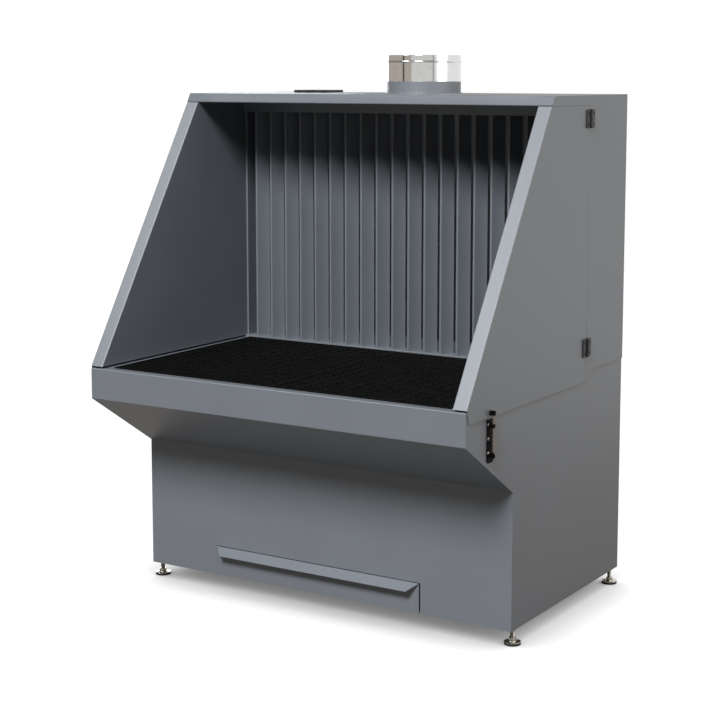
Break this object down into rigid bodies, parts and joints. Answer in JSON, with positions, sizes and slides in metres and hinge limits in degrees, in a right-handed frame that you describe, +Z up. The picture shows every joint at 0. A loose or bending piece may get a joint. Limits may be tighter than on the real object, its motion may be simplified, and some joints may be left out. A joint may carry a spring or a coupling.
{
  "type": "downdraft table",
  "caption": "Steel downdraft table with gratings, louvred rear suction wall, hinged side wings with latches, roof duct outlet, dust drawer and levelling feet.",
  "frame": {"origin": "on the floor under the middle of the table's bounding box", "axes": "+X to the right seen from the front, +Y to the rear, +Z up"},
  "size_m": [1.561, 1.206, 1.963],
  "materials": {
    "powder_coated_steel": "satin blue-grey powder coat",
    "black_grating_steel": "matt black coated welded grating",
    "galvanised_inner_steel": "plain galvanised sheet",
    "galvanised_duct": "bright galvanised duct steel",
    "black_cover": "matt black",
    "black_hinge": "fine textured black",
    "black_latch": "black passivated steel",
    "bright_steel": "bare drawn steel",
    "nickel_foot": "nickel plated, with a black rubber base"
  },
  "bodies": {
    "cabinet": {"base_front_panel": "powder_coated_steel", "base_side_right": "powder_coated_steel", "base_side_left": "powder_coated_steel", "base_rear_panel": "powder_coated_steel", "base_floor": "galvanised_inner_steel", "foot_blocks": "galvanised_inner_steel", "grating_frame": "black_grating_steel", "grating_beam": "black_grating_steel", "dust_hopper": "galvanised_inner_steel", "drawer_runners": "galvanised_inner_steel", "housing_side_right": "powder_coated_steel", "housing_side_left": "powder_coated_steel", "housing_rear_panel": "powder_coated_steel", "housing_posts": "powder_coated_steel", "roof_panel": "powder_coated_steel", "roof_cover": "black_cover", "header_panel": "powder_coated_steel", "slat_sill": "powder_coated_steel", "duct_collar": "powder_coated_steel", "duct_nipple": "galvanised_duct", "hinge_fixed_leaves": "black_hinge", "hinge_pins": "bright_steel", "bolt_plates": "black_latch", "slat_01": "powder_coated_steel", "slat_02": "powder_coated_steel", "slat_03": "powder_coated_steel", "slat_04": "powder_coated_steel", "slat_05": "powder_coated_steel", "slat_06": "powder_coated_steel", "slat_07": "powder_coated_steel", "slat_08": "powder_coated_steel", "slat_09": "powder_coated_steel", "slat_10": "powder_coated_steel", "slat_11": "powder_coated_steel", "slat_12": "powder_coated_steel", "slat_13": "powder_coated_steel", "slat_14": "powder_coated_steel", "slat_15": "powder_coated_steel", "slat_16": "powder_coated_steel", "slat_17": "powder_coated_steel", "slat_18": "powder_coated_steel", "slat_19": "powder_coated_steel"},
    "wing_left": {"wing_left_outer": "powder_coated_steel", "wing_left_inner": "powder_coated_steel", "wing_left_hinge_leaves": "black_hinge", "wing_left_keeper": "black_latch"},
    "wing_right": {"wing_right_outer": "powder_coated_steel", "wing_right_inner": "powder_coated_steel", "wing_right_hinge_leaves": "black_hinge", "wing_right_keeper": "black_latch"},
    "bolt_left": {"bolt_rod_left": "bright_steel"},
    "bolt_right": {"bolt_rod_right": "bright_steel"},
    "drawer": {"drawer_front": "powder_coated_steel", "drawer_box": "galvanised_inner_steel"},
    "grating_left_panel": {"grating_left": "black_grating_steel"},
    "grating_right_panel": {"grating_right": "black_grating_steel"},
    "foot_front_left_leveller": {"foot_front_left": "nickel_foot"},
    "foot_front_right_leveller": {"foot_front_right": "nickel_foot"},
    "foot_rear_left_leveller": {"foot_rear_left": "nickel_foot"},
    "foot_rear_right_leveller": {"foot_rear_right": "nickel_foot"}
  },
  "joints": [
    {"name": "wing_left_swing", "type": "hinge", "parent": "cabinet", "child": "wing_left", "pos_m": [-0.769, 0.279, 1.3375], "axis": [0, 0, -1], "range_deg": [0, 105]},
    {"name": "wing_right_swing", "type": "hinge", "parent": "cabinet", "child": "wing_right", "pos_m": [0.769, 0.279, 1.3375], "axis": [0, 0, 1], "range_deg": [0, 105]},
    {"name": "bolt_left_slide", "type": "slide", "parent": "cabinet", "child": "bolt_left", "axis": [0, 0, 1], "range_m": [0, 0.02]},
    {"name": "bolt_right_slide", "type": "slide", "parent": "cabinet", "child": "bolt_right", "axis": [0, 0, 1], "range_m": [0, 0.02]},
    {"name": "drawer_slide", "type": "slide", "parent": "cabinet", "child": "drawer", "axis": [0, -1, 0], "range_m": [0, 0.45]},
    {"name": "grating_left_lift", "type": "slide", "parent": "cabinet", "child": "grating_left_panel", "axis": [0, 0, 1], "range_m": [0, 0.25]},
    {"name": "grating_right_lift", "type": "slide", "parent": "cabinet", "child": "grating_right_panel", "axis": [0, 0, 1], "range_m": [0, 0.25]},
    {"name": "foot_front_left_level", "type": "slide", "parent": "cabinet", "child": "foot_front_left_leveller", "axis": [0, 0, -1], "range_m": [-0.012, 0.02]},
    {"name": "foot_front_right_level", "type": "slide", "parent": "cabinet", "child": "foot_front_right_leveller", "axis": [0, 0, -1], "range_m": [-0.012, 0.02]},
    {"name": "foot_rear_left_level", "type": "slide", "parent": "cabinet", "child": "foot_rear_left_leveller", "axis": [0, 0, -1], "range_m": [-0.012, 0.02]},
    {"name": "foot_rear_right_level", "type": "slide", "parent": "cabinet", "child": "foot_rear_right_leveller", "axis": [0, 0, -1], "range_m": [-0.012, 0.02]}
  ]
}
